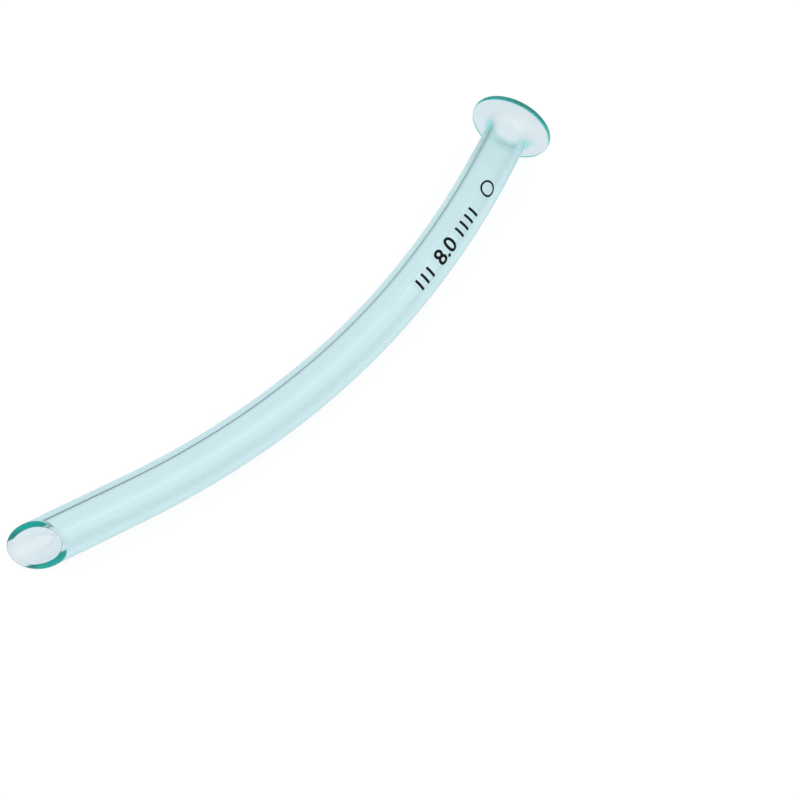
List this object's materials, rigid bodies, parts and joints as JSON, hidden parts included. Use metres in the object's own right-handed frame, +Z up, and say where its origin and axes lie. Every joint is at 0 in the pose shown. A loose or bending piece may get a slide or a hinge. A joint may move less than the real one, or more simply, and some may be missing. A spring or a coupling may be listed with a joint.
{
  "type": "nasopharyngeal airway",
  "caption": "Soft clear nasal airway tube, gently bent, with a round flange and funnel at one end and a slanted, rounded tip at the other.",
  "frame": {"origin": "on the floor, under the middle of the airway's box as it lies at rest", "axes": "+Z up, +X from the slanted tip to the flange, -Y towards the outer side of the bend"},
  "size_m": [0.1618, 0.0295, 0.0205],
  "materials": {
    "clear_vinyl": "clear soft vinyl, tinted pale blue-green, smooth and glossy",
    "print_ink": "thin black ink, printed on the tube"
  },
  "bodies": {
    "root": {"airway": "clear_vinyl"}
  },
  "joints": []
}
